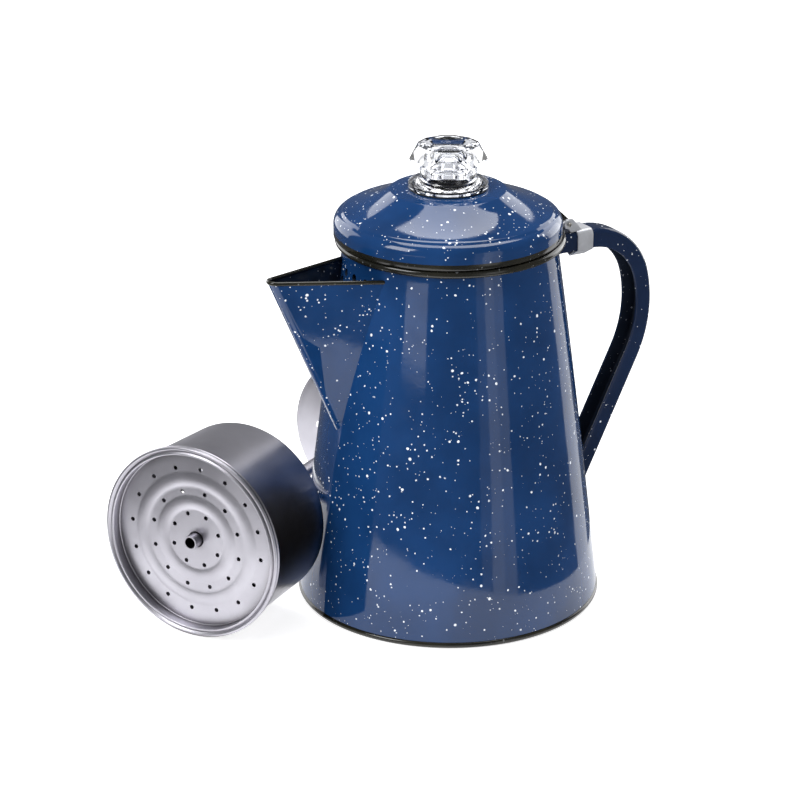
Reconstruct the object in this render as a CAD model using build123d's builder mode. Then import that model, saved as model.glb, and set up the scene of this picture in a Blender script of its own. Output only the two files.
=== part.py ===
"""Enamelled camping coffee percolator with its infuser set lying beside it.

Frame: origin on the pot's axis at the plane it stands on, +Z up.
The spout points along -X and the handle along +X.
"""
from math import cos, radians, sin, sqrt, tan
import os

from build123d import *

# ---------------------------------------------------------------- driving dimensions, mm
SHEET = 1.0                   # enamelled steel sheet

# pot
BASE_RADIUS = 66.1            # rolled bottom seam, outside
SEAM_HEIGHT = 2.6
WALL_FOOT_RADIUS = 65.4       # wall just above the seam
WALL_MID_RADIUS = 55.6
WALL_MID_Z = 84.0
NECK_RADIUS = 45.5            # wall just under the rim
NECK_Z = 158.0
RIM_BEAD_RADIUS = 1.6
RIM_CENTRE_R = 47.2           # centre of the curled rim's section
RIM_CENTRE_Z = 160.5

# spout, a folded V of sheet on the front of the pot
SPOUT_TIP_X = -87.1
SPOUT_TIP_Z = 156.6
SPOUT_FOOT_X = -55.5          # where the crease meets the wall
SPOUT_FOOT_Z = 84.2
SPOUT_HALF_ANGLE = 19.5       # each side from the middle plane, in a level section
SPOUT_NOSE_RADIUS = 4.0
SPOUT_RIM_DROP = 2.2          # the rim falls this much from the tip back to the wall
SPOUT_RIM_RUN = 43.6
SPOUT_BEAD_RADIUS = 0.9

# strainer holes in the wall behind the spout, a triangle of staggered rows
HOLE_RADIUS = 1.6
HOLE_STEP_DEG = 9.8
HOLE_ROW_STEP = 4.2
HOLE_TOP_Z = 150.6
HOLES_PER_ROW = (3, 4, 3, 2, 1)

# handle, a channel of sheet open towards the pot
HANDLE_TOP_Z = 154.3
HANDLE_WIDTH = 12.0
HANDLE_DEPTH = 8.4
HANDLE_CORNER = 2.2
HANDLE_STRAIGHT_X = 68.6      # the level stretch ends here
HANDLE_SHOULDER_RADIUS = 31.3
HANDLE_SHOULDER_TURN = 75.1
HANDLE_BULGE_RADIUS = 58.3
HANDLE_BULGE_TURN = 41.2

# hinge between lid and handle
BRACKET_START_X = 60.4
BRACKET_LENGTH = 7.8
BRACKET_SHEET = 0.7
BRACKET_KEEL_Z = 141.9        # the two ends of the band meet here under the handle
PIN_X = 56.6
PIN_Z = 158.2
PIN_RADIUS = 0.9
PIN_LENGTH = 11.6
EYE_RADIUS = 2.1
EYE_CLEARANCE = 0.08
TAB_WIDTH = 6.0
EAR_WIDTH = 1.6

# lid
LID_X = -1.2                  # the lid sits a little towards the spout, within its play
LID_EDGE_RADIUS = 48.3
LID_EDGE_Z = 162.6
LID_BAND_TOP_Z = 167.2
LID_HUB_RADIUS = 24.4         # crease where the flank meets the nearly flat hub
LID_HUB_Z = 182.4
LID_SEAT_RADIUS = 19.0        # flat seat under the knob
LID_SEAT_Z = 183.1
KNOB_HOLE_RADIUS = 12.9
NOTCH_RADIUS = 14.9
NOTCH_WIDTH = 8.4
COLLAR_RADIUS = 42.8
COLLAR_BOTTOM_Z = 154.5
COLLAR_FLANGE_Z = 164.4
COLLAR_SHEET = 0.8

# glass knob
GASKET_THICKNESS = 0.7
FLANGE_RADIUS = 16.9
FLANGE_BOTTOM_Z = 183.9
FLANGE_TOP_Z = 185.6
WAIST_RADIUS = 11.9
WAIST_Z = 189.2
HEAD_RADIUS = 16.5            # corners of the widest line, a hexagon
HEAD_WIDEST_Z = 195.4
KNOB_TOP_FLAT = 12.65         # middle of each of the twelve sides of the top
KNOB_TOP_Z = 201.8
KNOB_SIDES = 6
SPIGOT_RADIUS = 12.5
SPIGOT_BOTTOM_Z = 180.0
LUG_TOP_Z = 182.0
LUG_RADIUS = 14.5
LUG_WIDTH = 7.0
CAVITY_RADIUS = 9.4
CAVITY_TOP_Z = 197.4
DISH_RADIUS = 10.1
DISH_DEPTH = 1.5

# infuser set, measured upright from the foot's underside
ALU = 0.8                     # aluminium sheet
SET_HEIGHT = 152.0            # foot to the front of the spreader's rim
SPREADER_RIM_RADIUS = 42.5
FOOT_RADIUS = 37.5
SET_HEADING = 31.2            # direction from rim to foot on the standing plane
SET_ALONG = -98.1             # rim centre along that direction, from the pot's axis
SET_ASIDE = 71.1              # the set's axis to the pot's axis
FLOOR_GAP = 0.05
BASKET_FLOOR_Z = 106.0
BASKET_FLOOR_RADIUS = 39.2
BASKET_TOP_RADIUS = 40.8
BASKET_BEAD_RADIUS = 1.0
BASKET_BEAD_Z = 148.9
BASKET_CORNER = 2.5
SPREADER_BEAD_RADIUS = 0.85
SPREADER_SKIRT_RADIUS = 39.6
SPREADER_RECESS = 4.8
SPREADER_RIDGES = (16.5, 26.8)  # radii of the two raised rings
SPREADER_RIDGE_HALF = 3.0
SPREADER_RIDGE_RISE = 0.7
SPREADER_HOLE_RADIUS = 0.95
# each ring of holes: its radius, how many, and how far round it the first one is
SPREADER_RINGS = ((32.0, 16, -4.5), (21.5, 12, -12), (11.7, 8, -25))
BASKET_RINGS = ((33.0, 30, 0), (26.0, 24, 0), (19.0, 18, 0), (12.0, 10, 0))
FOOT_RINGS = ((24.0, 4, 0),)
TUBE_RADIUS = 3.1
TUBE_BORE = 2.4
SPREADER_BORE_PLAY = 0.5      # of the spreader on the tube, each side
TUBE_TOP_Z = 152.0
TUBE_BOTTOM_Z = 4.0
BASKET_SLEEVE_RADIUS = 3.18
STOP_RADIUS = 6.0
STOP_THICKNESS = 2.0
FOOT_HEM_RADIUS = 0.9
FOOT_SOCKET_TOP_Z = 13.0

os.makedirs("parts", exist_ok=True)


def save(builder, name):
    """Label a finished piece and write it as one STEP file."""
    builder.part.label = name
    export_step(builder.part, "parts/" + name + ".step")


# ---------------------------------------------------------------- pot
# the space inside the wall's outer face, used to trim what is welded to the wall
with BuildPart() as pot_envelope:
    with BuildSketch(Plane.XZ):
        with BuildLine():
            wall = ThreePointArc((WALL_FOOT_RADIUS, SEAM_HEIGHT), (WALL_MID_RADIUS, WALL_MID_Z),
                                 (NECK_RADIUS, NECK_Z))
            Polyline(wall @ 1, (0, NECK_Z), (0, SEAM_HEIGHT), wall @ 0)
        make_face()
    revolve(axis=Axis.Z)

with BuildPart() as pot_wall:
    with BuildSketch(Plane.XZ):
        with BuildLine():
            outer = ThreePointArc((WALL_FOOT_RADIUS, SEAM_HEIGHT), (WALL_MID_RADIUS, WALL_MID_Z),
                                  (NECK_RADIUS, NECK_Z))
            # the mouth turns outwards over a quarter circle into the curled rim
            mouth_r = NECK_RADIUS - SHEET
            turn = RIM_CENTRE_R - mouth_r
            turn_z = RIM_CENTRE_Z + RIM_BEAD_RADIUS - turn
            Polyline(outer @ 1, (RIM_CENTRE_R - 1.0, RIM_CENTRE_Z - 0.9), (RIM_CENTRE_R, RIM_CENTRE_Z),
                     (RIM_CENTRE_R, RIM_CENTRE_Z + RIM_BEAD_RADIUS))
            CenterArc((RIM_CENTRE_R, turn_z), turn, 90, 90)
            Line((mouth_r, turn_z), (mouth_r, NECK_Z))
            inner = ThreePointArc((mouth_r, NECK_Z), (WALL_MID_RADIUS - SHEET, WALL_MID_Z),
                                  (WALL_FOOT_RADIUS - SHEET, SEAM_HEIGHT))
            Line(inner @ 1, outer @ 0)
        make_face()
        with Locations((RIM_CENTRE_R, RIM_CENTRE_Z)):
            Circle(RIM_BEAD_RADIUS)
    revolve(axis=Axis.Z)
    for row, count in enumerate(HOLES_PER_ROW):
        for place in range(count):
            bearing = 180 + (place - (count - 1) / 2) * HOLE_STEP_DEG
            outwards = Vector(cos(radians(bearing)), sin(radians(bearing)), 0)
            centre = outwards * NECK_RADIUS + Vector(0, 0, HOLE_TOP_Z - row * HOLE_ROW_STEP)
            with BuildSketch(Plane(origin=centre, z_dir=outwards)):
                Circle(HOLE_RADIUS)
            extrude(amount=8, both=True, mode=Mode.SUBTRACT)
save(pot_wall, "pot_wall")

with BuildPart() as pot_base:
    with BuildSketch(Plane.XZ) as seam:
        with BuildLine():
            Polyline((0, 0), (BASE_RADIUS, 0), (BASE_RADIUS, SEAM_HEIGHT), (BASE_RADIUS - 2.6, SEAM_HEIGHT),
                     (BASE_RADIUS - 2.6, SHEET), (0, SHEET), (0, 0))
        make_face()
        corners = seam.vertices().group_by(Axis.X)[-1]
        fillet(corners.sort_by(Axis.Z)[0], 1.3)
        fillet(seam.vertices().group_by(Axis.X)[-1].sort_by(Axis.Z)[-1], 0.7)
    revolve(axis=Axis.Z)
save(pot_base, "pot_base")

# ---------------------------------------------------------------- spout
lean = (SPOUT_TIP_X - SPOUT_FOOT_X) / (SPOUT_TIP_Z - SPOUT_FOOT_Z)
half_angle = radians(SPOUT_HALF_ANGLE)
SPOUT_START_Z = 74.0
SPOUT_RISE = 92.0
nose_start_x = SPOUT_FOOT_X + lean * (SPOUT_START_Z - SPOUT_FOOT_Z)
rim_slope = SPOUT_RIM_DROP / SPOUT_RIM_RUN


def spout_wedge(inset, back_x):
    """Level section of the V, inset from its outside by a distance, leaning outwards as it rises."""
    nose_radius = SPOUT_NOSE_RADIUS - inset
    nose_x = nose_start_x + inset
    apex_x = nose_x - nose_radius * (1 / sin(half_angle) - 1)
    half_width = (back_x - apex_x) * tan(half_angle)
    with BuildPart() as wedge:
        with BuildSketch(Plane.XY.offset(SPOUT_START_Z)) as level:
            with BuildLine():
                Polyline((apex_x, 0), (back_x, half_width), (back_x, -half_width), (apex_x, 0))
            make_face()
            fillet(level.vertices().sort_by(Axis.X)[0], nose_radius)
        extrude(amount=SPOUT_RISE * sqrt(1 + lean ** 2), dir=(lean, 0, 1))
    return wedge.part


rim_plane = Plane(origin=(SPOUT_TIP_X, 0, SPOUT_TIP_Z), x_dir=(1, 0, -rim_slope), z_dir=(rim_slope, 0, 1))
bead_plane = Plane(origin=rim_plane.origin - rim_plane.z_dir * SPOUT_BEAD_RADIUS,
                   x_dir=rim_plane.x_dir, z_dir=rim_plane.z_dir)
# a level V, cut by the tilted rim plane, closes up by the crease's lean
bead_half_angle = tan(half_angle) * (1 - abs(lean) * rim_slope)
bead_radius = SPOUT_NOSE_RADIUS - SHEET / 2
bead_apex = SHEET / 2 - bead_radius * (sqrt(1 + 1 / bead_half_angle ** 2) - 1)
bead_reach = 60.0

with BuildPart() as spout:
    add(spout_wedge(0, 12))
    add(spout_wedge(SHEET, 30), mode=Mode.SUBTRACT)
    split(bisect_by=rim_plane, keep=Keep.BOTTOM)
    with BuildLine(bead_plane) as rim_path:
        FilletPolyline((bead_reach, (bead_reach - bead_apex) * bead_half_angle), (bead_apex, 0),
                       (bead_reach, -(bead_reach - bead_apex) * bead_half_angle), radius=bead_radius)
    with BuildSketch(Plane(origin=rim_path.line @ 0, z_dir=rim_path.line % 0)):
        Circle(SPOUT_BEAD_RADIUS)
    sweep(path=rim_path.line)
    add(pot_envelope.part, mode=Mode.SUBTRACT)
save(spout, "spout")

# ---------------------------------------------------------------- handle
HANDLE_START_X = 40.0         # inside the pot, trimmed off at the wall

with BuildPart() as handle:
    with BuildLine(Plane.XZ) as handle_path:
        level = Line((HANDLE_START_X, HANDLE_TOP_Z), (HANDLE_STRAIGHT_X, HANDLE_TOP_Z))
        shoulder = JernArc(level @ 1, level % 1, HANDLE_SHOULDER_RADIUS, -HANDLE_SHOULDER_TURN)
        bulge = JernArc(shoulder @ 1, shoulder % 1, HANDLE_BULGE_RADIUS, -HANDLE_BULGE_TURN)
        Line(bulge @ 1, (bulge @ 1) + (bulge % 1) * 84)
    with BuildSketch(Plane(origin=handle_path.line @ 0, x_dir=(0, 1, 0), z_dir=(1, 0, 0))) as channel:
        with Locations((0, -HANDLE_DEPTH / 2)):
            Rectangle(HANDLE_WIDTH, HANDLE_DEPTH)
        fillet(channel.vertices().group_by(Axis.Z)[-1], HANDLE_CORNER)
        with BuildSketch(mode=Mode.PRIVATE) as hollow:
            with Locations((0, -HANDLE_DEPTH / 2 - SHEET)):
                Rectangle(HANDLE_WIDTH - 2 * SHEET, HANDLE_DEPTH)
            fillet(hollow.vertices().group_by(Axis.Y)[-1], HANDLE_CORNER - SHEET)
        add(hollow.sketch, mode=Mode.SUBTRACT)
    sweep(path=handle_path.line)
    add(pot_envelope.part, mode=Mode.SUBTRACT)
save(handle, "handle")

# ---------------------------------------------------------------- hinge
def bracket_outline(inset):
    """Section of the band round the handle, its two ends folded together under it."""
    half = HANDLE_WIDTH / 2 + BRACKET_SHEET - inset
    top = HANDLE_TOP_Z + BRACKET_SHEET - inset
    with BuildSketch() as band:
        with BuildLine():
            Polyline((-half, top), (half, top), (half, HANDLE_TOP_Z - HANDLE_DEPTH),
                     (0, BRACKET_KEEL_Z + inset), (-half, HANDLE_TOP_Z - HANDLE_DEPTH), (-half, top))
        make_face()
        fillet(band.vertices().group_by(Axis.Y)[-1], HANDLE_CORNER + BRACKET_SHEET - inset)
    return band.sketch


with BuildPart() as hinge_bracket:
    with BuildSketch(Plane.YZ.offset(BRACKET_START_X)):
        add(bracket_outline(0))
        add(bracket_outline(BRACKET_SHEET), mode=Mode.SUBTRACT)
    extrude(amount=BRACKET_LENGTH)
    # two ears stand forward from the band's top and hold the pin's ends
    for side in (-1, 1):
        ear_y = side * (TAB_WIDTH / 2 + 0.2 + EAR_WIDTH / 2)
        with BuildSketch(Plane.XZ.offset(-ear_y)):
            with BuildLine():
                Polyline((PIN_X, PIN_Z + EYE_RADIUS), (PIN_X + 2.2, PIN_Z + EYE_RADIUS),
                         (BRACKET_START_X + 3.0, HANDLE_TOP_Z + 0.5), (BRACKET_START_X + 3.0, HANDLE_TOP_Z + 0.1),
                         (BRACKET_START_X - 2.5, HANDLE_TOP_Z + 0.1), (PIN_X, PIN_Z - EYE_RADIUS),
                         (PIN_X, PIN_Z + EYE_RADIUS))
            make_face()
            with Locations((PIN_X, PIN_Z)):
                Circle(EYE_RADIUS)
            with Locations((PIN_X, PIN_Z)):
                Circle(PIN_RADIUS, mode=Mode.SUBTRACT)
        extrude(amount=EAR_WIDTH / 2, both=True)
    add(handle.part, mode=Mode.SUBTRACT)
save(hinge_bracket, "hinge_bracket")

with BuildPart() as hinge_pin:
    with BuildSketch(Plane.XZ.offset(-PIN_LENGTH / 2)):
        with Locations((PIN_X, PIN_Z)):
            Circle(PIN_RADIUS)
    extrude(amount=PIN_LENGTH)
    chamfer(hinge_pin.edges().filter_by(GeomType.CIRCLE), 0.2)
save(hinge_pin, "hinge_pin")

# ---------------------------------------------------------------- lid
lid_plane = Plane(origin=(LID_X, 0, 0), x_dir=(1, 0, 0), z_dir=(0, -1, 0))
lid_axis = Axis((LID_X, 0, 0), (0, 0, 1))

with BuildPart() as lid_shell:
    with BuildSketch(lid_plane):
        with BuildLine():
            band = Line((LID_EDGE_RADIUS, LID_EDGE_Z), (LID_EDGE_RADIUS, LID_BAND_TOP_Z))
            brow = ThreePointArc(band @ 1, (47.85, 169.9), (46.3, 171.9))
            ledge = Line(brow @ 1, (45.1, 172.3))
            riser = Line(ledge @ 1, (44.1, 173.2))
            flank = ThreePointArc(riser @ 1, (34.0, 176.8), (LID_HUB_RADIUS, LID_HUB_Z))
            hub = Line(flank @ 1, (LID_SEAT_RADIUS, LID_SEAT_Z))
            seat = Line(hub @ 1, (KNOB_HOLE_RADIUS, LID_SEAT_Z))
            offset(amount=SHEET, side=Side.LEFT)
        make_face()
    revolve(axis=lid_axis)
    with BuildSketch(Plane.XY.offset(LID_SEAT_Z - 3)):
        with Locations((LID_X, 0)):
            with PolarLocations((KNOB_HOLE_RADIUS + NOTCH_RADIUS) / 2 - 0.5, 3, start_angle=60):
                Rectangle(NOTCH_RADIUS - KNOB_HOLE_RADIUS + 1, NOTCH_WIDTH)
    extrude(amount=4, mode=Mode.SUBTRACT)
save(lid_shell, "lid_shell")

with BuildPart() as lid_collar:
    with BuildSketch(lid_plane):
        with BuildLine():
            Polyline((COLLAR_RADIUS - COLLAR_SHEET, COLLAR_BOTTOM_Z), (COLLAR_RADIUS, COLLAR_BOTTOM_Z),
                     (COLLAR_RADIUS, COLLAR_FLANGE_Z), (LID_EDGE_RADIUS - SHEET, COLLAR_FLANGE_Z),
                     (LID_EDGE_RADIUS - SHEET, COLLAR_FLANGE_Z + COLLAR_SHEET),
                     (COLLAR_RADIUS - COLLAR_SHEET, COLLAR_FLANGE_Z + COLLAR_SHEET),
                     (COLLAR_RADIUS - COLLAR_SHEET, COLLAR_BOTTOM_Z))
        make_face()
    revolve(axis=lid_axis)
save(lid_collar, "lid_collar")

with BuildPart() as lid_disc:
    with BuildSketch(Plane.XY.offset(LID_EDGE_Z)):
        with Locations((LID_X, 0)):
            Circle(LID_EDGE_RADIUS)
    extrude(amount=10)

with BuildPart() as lid_hinge_tab:
    with BuildSketch(Plane.XZ):
        with BuildLine():
            Polyline((44.5, 163.4), (44.5, 166.8), (50.6, 166.8), (PIN_X + 1.7, PIN_Z + 1.25),
                     (PIN_X + 0.4, PIN_Z + 0.4), (PIN_X - 1.4, PIN_Z + 1.55), (50.0, 165.4),
                     (47.9, 165.4), (47.9, 163.4), (44.5, 163.4))
        make_face()
        with Locations((PIN_X, PIN_Z)):
            Circle(EYE_RADIUS)
        with Locations((PIN_X, PIN_Z)):
            Circle(PIN_RADIUS + EYE_CLEARANCE, mode=Mode.SUBTRACT)
    extrude(amount=TAB_WIDTH / 2, both=True)
    add(lid_disc.part, mode=Mode.SUBTRACT)
save(lid_hinge_tab, "lid_hinge_tab")

# ---------------------------------------------------------------- glass knob
with BuildPart() as knob_gasket:
    with BuildSketch(Plane.XY.offset(LID_SEAT_Z)):
        with Locations((LID_X, 0)):
            Circle(FLANGE_RADIUS - 0.3)
            Circle(NOTCH_RADIUS, mode=Mode.SUBTRACT)
    extrude(amount=GASKET_THICKNESS)
save(knob_gasket, "knob_gasket")

cos_half_side = cos(radians(180 / KNOB_SIDES))

with BuildPart() as knob:
    # faceted head: six leaning faces, then six corner facets that take each corner back to nothing
    # at the widest line, so that the top has twelve sides
    for z, radius in ((WAIST_Z + 0.6, WAIST_RADIUS + 1.4), (HEAD_WIDEST_Z, HEAD_RADIUS),
                      (KNOB_TOP_Z, KNOB_TOP_FLAT / cos_half_side)):
        with BuildSketch(Plane.XY.offset(z)):
            with Locations((LID_X, 0)):
                RegularPolygon(radius, KNOB_SIDES, rotation=30)
    loft(ruled=True)
    for z, flat in ((WAIST_Z, 2 * HEAD_RADIUS), (HEAD_WIDEST_Z, HEAD_RADIUS), (KNOB_TOP_Z, KNOB_TOP_FLAT)):
        with BuildSketch(Plane.XY.offset(z)):
            with Locations((LID_X, 0)):
                RegularPolygon(flat / cos_half_side, KNOB_SIDES)
    loft(ruled=True, mode=Mode.INTERSECT)
    with BuildSketch(lid_plane):
        with BuildLine():
            Polyline((0, SPIGOT_BOTTOM_Z), (SPIGOT_RADIUS, SPIGOT_BOTTOM_Z), (SPIGOT_RADIUS, FLANGE_BOTTOM_Z),
                     (FLANGE_RADIUS, FLANGE_BOTTOM_Z), (FLANGE_RADIUS, FLANGE_TOP_Z))
            waist = Spline((FLANGE_RADIUS, FLANGE_TOP_Z), (WAIST_RADIUS + 0.7, FLANGE_TOP_Z + 1.3),
                           (WAIST_RADIUS, WAIST_Z + 0.8), tangents=[(-1, 0.02), (0, 1)])
            Polyline(waist @ 1, (0, WAIST_Z + 0.8), (0, SPIGOT_BOTTOM_Z))
        make_face()
    revolve(axis=lid_axis)
    with BuildSketch(Plane.XY.offset(SPIGOT_BOTTOM_Z)):
        with Locations((LID_X, 0)):
            with PolarLocations((CAVITY_RADIUS + LUG_RADIUS) / 2, 3):
                Rectangle(LUG_RADIUS - CAVITY_RADIUS, LUG_WIDTH)
    extrude(amount=LUG_TOP_Z - SPIGOT_BOTTOM_Z)
    with BuildSketch(lid_plane):
        with BuildLine():
            roof = ThreePointArc((0, CAVITY_TOP_Z), (CAVITY_RADIUS * 0.72, CAVITY_TOP_Z - 1.6),
                                 (CAVITY_RADIUS, CAVITY_TOP_Z - 6))
            Polyline(roof @ 1, (CAVITY_RADIUS, SPIGOT_BOTTOM_Z), (0, SPIGOT_BOTTOM_Z), (0, CAVITY_TOP_Z))
        make_face()
        with BuildLine():
            dish = ThreePointArc((DISH_RADIUS, KNOB_TOP_Z), (DISH_RADIUS / 2, KNOB_TOP_Z - DISH_DEPTH * 0.75),
                                 (0, KNOB_TOP_Z - DISH_DEPTH))
            Polyline(dish @ 1, (0, KNOB_TOP_Z), (DISH_RADIUS, KNOB_TOP_Z))
        make_face()
    revolve(axis=lid_axis, mode=Mode.SUBTRACT)
    fillet(knob.edges().filter_by(GeomType.CIRCLE).group_by(Axis.Z)[-1], 0.5)
save(knob, "glass_knob")

# ---------------------------------------------------------------- infuser set
# the set lies on its side, on the spreader's rim and the foot's edge
set_slope = (SPREADER_RIM_RADIUS - FOOT_RADIUS) / SET_HEIGHT
heading = Vector(cos(radians(SET_HEADING)), sin(radians(SET_HEADING)), 0)
aside = Vector(-sin(radians(SET_HEADING)), cos(radians(SET_HEADING)), 0)
set_up = (Vector(0, 0, set_slope) - heading).normalized()
rim_centre = heading * SET_ALONG + aside * SET_ASIDE + Vector(0, 0, SPREADER_RIM_RADIUS + FLOOR_GAP)
foot_centre = rim_centre - set_up * SET_HEIGHT
set_axis = Axis(foot_centre, set_up)
# the lengthwise section, with local x across the set and local y up it
section_plane = Plane(origin=foot_centre, x_dir=aside, z_dir=aside.cross(set_up))


def across(height):
    """Plane square to the set's axis at a height above the foot's underside."""
    return Plane(origin=foot_centre + set_up * height, x_dir=aside, z_dir=set_up)


def rings_of_holes(rings, radius, height, depth):
    """Pins that drill concentric rings of holes through a plate of the set."""
    with BuildPart() as drills:
        with BuildSketch(across(height)):
            for ring_radius, count, turn in rings:
                with PolarLocations(ring_radius, count, turn):
                    Circle(radius)
        extrude(amount=depth)
    return drills.part


with BuildPart() as basket:
    with BuildSketch(section_plane) as basket_section:
        with BuildLine():
            Polyline((BASKET_SLEEVE_RADIUS, BASKET_FLOOR_Z), (BASKET_FLOOR_RADIUS, BASKET_FLOOR_Z),
                     (BASKET_TOP_RADIUS, BASKET_BEAD_Z), (BASKET_TOP_RADIUS - ALU, BASKET_BEAD_Z),
                     (BASKET_FLOOR_RADIUS - ALU, BASKET_FLOOR_Z + ALU),
                     (BASKET_SLEEVE_RADIUS + ALU, BASKET_FLOOR_Z + ALU),
                     (BASKET_SLEEVE_RADIUS + ALU, BASKET_FLOOR_Z + 6), (BASKET_SLEEVE_RADIUS, BASKET_FLOOR_Z + 6),
                     (BASKET_SLEEVE_RADIUS, BASKET_FLOOR_Z))
        make_face()
        with Locations((SPREADER_RIM_RADIUS - BASKET_BEAD_RADIUS - 0.3, BASKET_BEAD_Z)):
            Circle(BASKET_BEAD_RADIUS)
    revolve(axis=set_axis)
    floor_edge = basket.edges().filter_by(GeomType.CIRCLE).group_by(lambda e: round(e.radius, 2))
    for ring in floor_edge:
        if abs(ring[0].radius - BASKET_FLOOR_RADIUS) < 0.01:
            fillet(ring, BASKET_CORNER)
        elif abs(ring[0].radius - BASKET_FLOOR_RADIUS + ALU) < 0.01:
            fillet(ring, BASKET_CORNER - ALU)
    add(rings_of_holes(BASKET_RINGS, SPREADER_HOLE_RADIUS, BASKET_FLOOR_Z - 1, ALU + 2), mode=Mode.SUBTRACT)
save(basket, "basket")

def ridged_line(level, inner, outer):
    """Line across the spreader's plate at a height, over its two raised rings."""
    here = (inner, level)
    for middle in SPREADER_RIDGES:
        foot = (middle - SPREADER_RIDGE_HALF, level)
        Line(here, foot)
        here = (middle + SPREADER_RIDGE_HALF, level)
        ThreePointArc(foot, (middle, level + SPREADER_RIDGE_RISE), here)
    Line(here, (outer, level))


with BuildPart() as spreader_lid:
    plate_z = SET_HEIGHT - SPREADER_RECESS
    flange_z = SET_HEIGHT - 0.2
    bead_r = SPREADER_RIM_RADIUS - SPREADER_BEAD_RADIUS
    bore_r = TUBE_RADIUS + SPREADER_BORE_PLAY
    with BuildSketch(section_plane):
        with BuildLine():
            ridged_line(plate_z, bore_r, SPREADER_SKIRT_RADIUS - ALU)
            Polyline((SPREADER_SKIRT_RADIUS - ALU, plate_z), (SPREADER_SKIRT_RADIUS - ALU, flange_z),
                     (bead_r, flange_z), (bead_r, flange_z - ALU), (SPREADER_SKIRT_RADIUS, flange_z - ALU),
                     (SPREADER_SKIRT_RADIUS, plate_z - ALU))
            ridged_line(plate_z - ALU, bore_r, SPREADER_SKIRT_RADIUS)
            Line((bore_r, plate_z - ALU), (bore_r, plate_z))
        make_face()
        with Locations((bead_r, SET_HEIGHT - SPREADER_BEAD_RADIUS)):
            Circle(SPREADER_BEAD_RADIUS)
    revolve(axis=set_axis)
    add(rings_of_holes(SPREADER_RINGS, SPREADER_HOLE_RADIUS, plate_z - ALU - 1, ALU + 2), mode=Mode.SUBTRACT)
save(spreader_lid, "spreader_lid")

with BuildPart() as stem_tube:
    with BuildSketch(across(TUBE_BOTTOM_Z)):
        Circle(TUBE_RADIUS)
        Circle(TUBE_BORE, mode=Mode.SUBTRACT)
    extrude(amount=TUBE_TOP_Z - TUBE_BOTTOM_Z)
save(stem_tube, "stem_tube")

with BuildPart() as stem_stop:
    with BuildSketch(across(BASKET_FLOOR_Z - 0.1 - STOP_THICKNESS)):
        Circle(STOP_RADIUS)
        Circle(TUBE_RADIUS, mode=Mode.SUBTRACT)
    extrude(amount=STOP_THICKNESS)
    stop_rings = stem_stop.edges().filter_by(GeomType.CIRCLE).sort_by(lambda e: e.radius)
    chamfer(stop_rings[-2:], 0.4)
save(stem_stop, "stem_stop")

with BuildPart() as stem_foot:
    with BuildSketch(section_plane):
        with BuildLine():
            crown = Line((TUBE_RADIUS + ALU, FOOT_SOCKET_TOP_Z), (TUBE_RADIUS + ALU, 10.5))
            flare = Spline(crown @ 1, (9.0, 6.6), (FOOT_RADIUS - FOOT_HEM_RADIUS, 2 * FOOT_HEM_RADIUS),
                           tangents=[(0.1, -1), (1, -0.1)])
            Polyline(flare @ 1, (FOOT_RADIUS - FOOT_HEM_RADIUS, 2 * FOOT_HEM_RADIUS - ALU))
            under = Spline((FOOT_RADIUS - FOOT_HEM_RADIUS, 2 * FOOT_HEM_RADIUS - ALU), (8.6, 5.8),
                           (TUBE_RADIUS, 9.6), tangents=[(-1, 0.1), (-0.25, 1)])
            Polyline(under @ 1, (TUBE_RADIUS, FOOT_SOCKET_TOP_Z), crown @ 0)
        make_face()
        with Locations((FOOT_RADIUS - FOOT_HEM_RADIUS, FOOT_HEM_RADIUS)):
            Circle(FOOT_HEM_RADIUS)
    revolve(axis=set_axis)
    add(rings_of_holes(FOOT_RINGS, 2.0, 0, 10), mode=Mode.SUBTRACT)
save(stem_foot, "stem_foot")
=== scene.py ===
"""Looks of the enamelled camping percolator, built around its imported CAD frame."""

import math

import bmesh
import bpy
import numpy as np
from mathutils import Matrix, Vector


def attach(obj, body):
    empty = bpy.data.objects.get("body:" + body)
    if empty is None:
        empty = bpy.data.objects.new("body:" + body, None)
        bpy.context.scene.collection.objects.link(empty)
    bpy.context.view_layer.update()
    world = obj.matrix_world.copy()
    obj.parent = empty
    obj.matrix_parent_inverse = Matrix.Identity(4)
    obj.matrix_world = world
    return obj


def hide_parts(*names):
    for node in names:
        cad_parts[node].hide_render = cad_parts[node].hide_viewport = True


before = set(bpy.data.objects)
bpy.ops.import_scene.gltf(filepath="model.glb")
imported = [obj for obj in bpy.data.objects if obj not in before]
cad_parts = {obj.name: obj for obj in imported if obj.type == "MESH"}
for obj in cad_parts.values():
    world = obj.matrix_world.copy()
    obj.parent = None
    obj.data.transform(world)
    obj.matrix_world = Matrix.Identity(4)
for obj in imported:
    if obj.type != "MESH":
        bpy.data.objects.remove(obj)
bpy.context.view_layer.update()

# outlines are in mm and scaled when meshed; lights, floor, camera and textures are in metres
MM = 0.001
SHEET = 1.0                      # enamelled steel
ALU = 0.8                        # aluminium sheet

# camera: 22 degrees above the horizon, 30 degrees round from the -Y side towards the spout
CAMERA_TARGET = Vector((-0.0184, 0.0106, 0.0866))
CAMERA_HEADING = 30.0
CAMERA_PITCH = 21.99
CAMERA_DISTANCE = 1.207
CAMERA_LENS = 125.8

# the infuser set lies on the floor beside the pot; its own frame has its foot at z = 0 and its rim on top
SET_HEIGHT = 152.0
SET_RIM_RADIUS = 42.5
SET_FOOT_RADIUS = 37.5
SET_HEADING = math.radians(31.2)
SET_ALONG = -98.1
SET_ASIDE = 71.1
FLOOR_GAP = 0.05


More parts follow.
